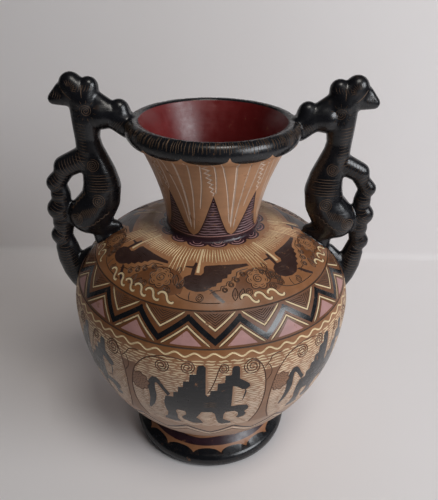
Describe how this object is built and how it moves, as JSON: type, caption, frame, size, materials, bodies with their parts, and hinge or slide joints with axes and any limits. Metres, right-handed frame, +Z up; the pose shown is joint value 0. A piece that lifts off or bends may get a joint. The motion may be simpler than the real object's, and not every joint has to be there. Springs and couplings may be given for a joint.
{
  "type": "two-handled amphora",
  "caption": "Hollow footed amphora with a wide belly, flaring neck, rolled lip and animal-shaped handles on both sides.",
  "frame": {"origin": "centre of the foot's underside, on the turning axis", "axes": "+Z up along the turning axis, handles along +X and -X, front towards -Y"},
  "size_m": [0.3076, 0.269, 0.3867],
  "materials": {
    "terracotta": "burnished coloured slips, scratched through"
  },
  "bodies": {
    "root": {"amphora": "terracotta"}
  },
  "joints": []
}
